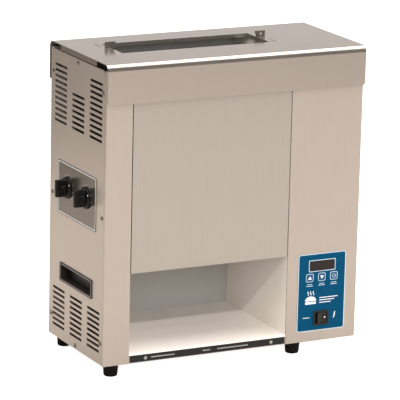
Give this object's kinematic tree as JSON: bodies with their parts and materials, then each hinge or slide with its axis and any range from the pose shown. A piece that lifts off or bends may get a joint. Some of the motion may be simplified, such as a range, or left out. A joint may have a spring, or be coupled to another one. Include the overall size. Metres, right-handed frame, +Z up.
{
  "type": "vertical contact toaster",
  "caption": "Upright countertop bun toaster: buns drop through a slot in the lid, pass a heated plate between two belts and land on a floor at the front.",
  "frame": {"origin": "centre of the bottom of the whole object's box, on the surface the feet stand on", "axes": "+Z up, -Y is the front with the landing opening, +X towards the control housing"},
  "size_m": [0.5888, 0.272, 0.6365],
  "materials": {
    "cabinet_steel": "brushed stainless sheet, grain upright",
    "lid_steel": "brushed stainless sheet",
    "bracket_steel": "plain stainless sheet",
    "belt_wire": "drawn stainless wire",
    "shaft_steel": "ground steel",
    "gear_steel": "sintered steel",
    "bearing_bronze": "oil-filled bronze",
    "cast_plate": "cast aluminium",
    "heater_sheath": "heat-darkened sheath",
    "release_sheet": "coated glass cloth",
    "screw_steel": "bright plated steel",
    "rivet_aluminium": "plain aluminium",
    "foot_rubber": "black rubber",
    "pocket_plastic": "moulded black",
    "knob_plastic": "moulded black",
    "plate_label": "printed graphite grey film",
    "strip_label": "printed black film",
    "overlay_film": "printed blue film",
    "display_window": "smoked window",
    "switch_plastic": "moulded black",
    "circuit_board": "green resist",
    "motor_paint": "black enamel",
    "transformer_iron": "varnished iron",
    "relay_plastic": "moulded",
    "thermostat_shell": "plain aluminium",
    "fan_plastic": "moulded black"
  },
  "bodies": {
    "cabinet": {"base_pan": "cabinet_steel", "left_divider": "cabinet_steel", "right_divider": "cabinet_steel", "left_front_post": "cabinet_steel", "control_front_panel": "cabinet_steel", "left_end_panel": "cabinet_steel", "right_end_panel": "cabinet_steel", "rear_panel": "cabinet_steel", "landing_floor": "cabinet_steel", "left_handle_pocket": "pocket_plastic", "right_handle_pocket": "pocket_plastic", "panel_screws": "screw_steel", "foot_screws": "screw_steel", "foot_front_left": "foot_rubber", "foot_front_right": "foot_rubber", "foot_rear_left": "foot_rubber", "foot_rear_right": "foot_rubber", "heated_platen": "cast_plate", "platen_heaters": "heater_sheath", "platen_brackets": "bracket_steel", "release_sheets": "release_sheet", "shaft_bearings": "bearing_bronze", "gearmotor": "motor_paint", "knob_plate": "plate_label", "control_overlay": "overlay_film", "display_lens": "display_window", "switch_housing": "switch_plastic", "control_board": "circuit_board", "transformer": "transformer_iron", "terminal_block": "relay_plastic", "heater_relay": "relay_plastic", "limit_thermostat": "thermostat_shell", "fan_frame": "fan_plastic", "cord_inlet": "pocket_plastic", "trim_strip": "strip_label", "trim_rivets": "rivet_aluminium"},
    "lid": {"top_cover": "lid_steel"},
    "divider": {"bun_divider": "bracket_steel"},
    "bay_cover": {"front_cover": "lid_steel"},
    "front_compression": {"front_knob": "knob_plastic", "front_cam_shaft": "shaft_steel"},
    "rear_compression": {"rear_knob": "knob_plastic", "rear_cam_shaft": "shaft_steel"},
    "front_conveyor": {"front_conveyor_frame": "bracket_steel", "front_belt": "belt_wire"},
    "rear_conveyor": {"rear_conveyor_frame": "bracket_steel", "rear_belt": "belt_wire"},
    "front_drive": {"front_drive_shaft": "shaft_steel", "front_drive_gear": "gear_steel"},
    "rear_drive": {"rear_drive_shaft": "shaft_steel", "rear_drive_gear": "gear_steel"},
    "front_idler": {"front_idler_shaft": "shaft_steel"},
    "rear_idler": {"rear_idler_shaft": "shaft_steel"},
    "motor_output": {"motor_gear": "gear_steel"},
    "reversing_gear": {"idler_gear": "gear_steel"},
    "fan_rotor": {"fan_impeller": "fan_plastic"},
    "switch_rocker": {"power_rocker": "switch_plastic"},
    "up_key": {"key_up": "overlay_film"},
    "down_key": {"key_down": "overlay_film"},
    "select_key": {"key_select": "overlay_film"}
  },
  "joints": [
    {"name": "lid_lift", "type": "slide", "parent": "cabinet", "child": "lid", "axis": [0, 0, 1], "range_m": [0, 0.1]},
    {"name": "divider_lift", "type": "slide", "parent": "lid", "child": "divider", "axis": [0, 0, 1], "range_m": [0, 0.06]},
    {"name": "front_cover_unhook", "type": "slide", "parent": "cabinet", "child": "bay_cover", "axis": [0, 0, 1], "range_m": [0, 0.012]},
    {"name": "front_conveyor_tilt", "type": "hinge", "parent": "cabinet", "child": "front_conveyor", "pos_m": [0, -0.05, 0.565], "axis": [1, 0, 0], "range_deg": [0, 2.07]},
    {"name": "rear_conveyor_tilt", "type": "hinge", "parent": "cabinet", "child": "rear_conveyor", "pos_m": [0, 0.076, 0.565], "axis": [-1, 0, 0], "range_deg": [0, 2.07]},
    {"name": "front_knob_turn", "type": "hinge", "parent": "cabinet", "child": "front_compression", "pos_m": [-0.2674, -0.044, 0.344], "axis": [1, 0, 0], "range_deg": [0, 270]},
    {"name": "rear_knob_turn", "type": "hinge", "parent": "cabinet", "child": "rear_compression", "pos_m": [-0.2674, 0.044, 0.344], "axis": [1, 0, 0], "range_deg": [0, 270]},
    {"name": "front_drive_spin", "type": "hinge", "parent": "cabinet", "child": "front_drive", "pos_m": [0, -0.05, 0.565], "axis": [1, 0, 0], "continuous": true},
    {"name": "rear_drive_spin", "type": "hinge", "parent": "cabinet", "child": "rear_drive", "pos_m": [0, 0.076, 0.565], "axis": [1, 0, 0], "continuous": true},
    {"name": "front_idler_spin", "type": "hinge", "parent": "front_conveyor", "child": "front_idler", "pos_m": [0, -0.05, 0.27], "axis": [1, 0, 0], "continuous": true},
    {"name": "rear_idler_spin", "type": "hinge", "parent": "rear_conveyor", "child": "rear_idler", "pos_m": [0, 0.076, 0.27], "axis": [1, 0, 0], "continuous": true},
    {"name": "motor_spin", "type": "hinge", "parent": "cabinet", "child": "motor_output", "pos_m": [0, -0.008, 0.565], "axis": [1, 0, 0], "continuous": true},
    {"name": "reversing_gear_spin", "type": "hinge", "parent": "cabinet", "child": "reversing_gear", "pos_m": [0, 0.034, 0.565], "axis": [1, 0, 0], "continuous": true},
    {"name": "fan_spin", "type": "hinge", "parent": "cabinet", "child": "fan_rotor", "pos_m": [0.2226, 0.114, 0.33], "axis": [0, 1, 0], "continuous": true},
    {"name": "power_rocker_tilt", "type": "hinge", "parent": "cabinet", "child": "switch_rocker", "pos_m": [0.2126, -0.125, 0.0725], "axis": [0, 0, -1], "range_deg": [0, 20]},
    {"name": "up_key_press", "type": "slide", "parent": "cabinet", "child": "up_key", "axis": [0, 1, 0], "range_m": [0, 0.001], "stiffness_N_per_m": 400},
    {"name": "down_key_press", "type": "slide", "parent": "cabinet", "child": "down_key", "axis": [0, 1, 0], "range_m": [0, 0.001], "stiffness_N_per_m": 400},
    {"name": "select_key_press", "type": "slide", "parent": "cabinet", "child": "select_key", "axis": [0, 1, 0], "range_m": [0, 0.001], "stiffness_N_per_m": 400}
  ],
  "couplings": [
    {"joint": "front_knob_turn", "follows": "front_conveyor_tilt", "ratio": 130.4},
    {"joint": "rear_knob_turn", "follows": "rear_conveyor_tilt", "ratio": 130.4},
    {"joint": "motor_spin", "follows": "front_drive_spin", "ratio": -1},
    {"joint": "reversing_gear_spin", "follows": "front_drive_spin", "ratio": 1},
    {"joint": "rear_drive_spin", "follows": "front_drive_spin", "ratio": -1},
    {"joint": "front_idler_spin", "follows": "front_drive_spin", "ratio": 1},
    {"joint": "rear_idler_spin", "follows": "front_drive_spin", "ratio": -1}
  ]
}
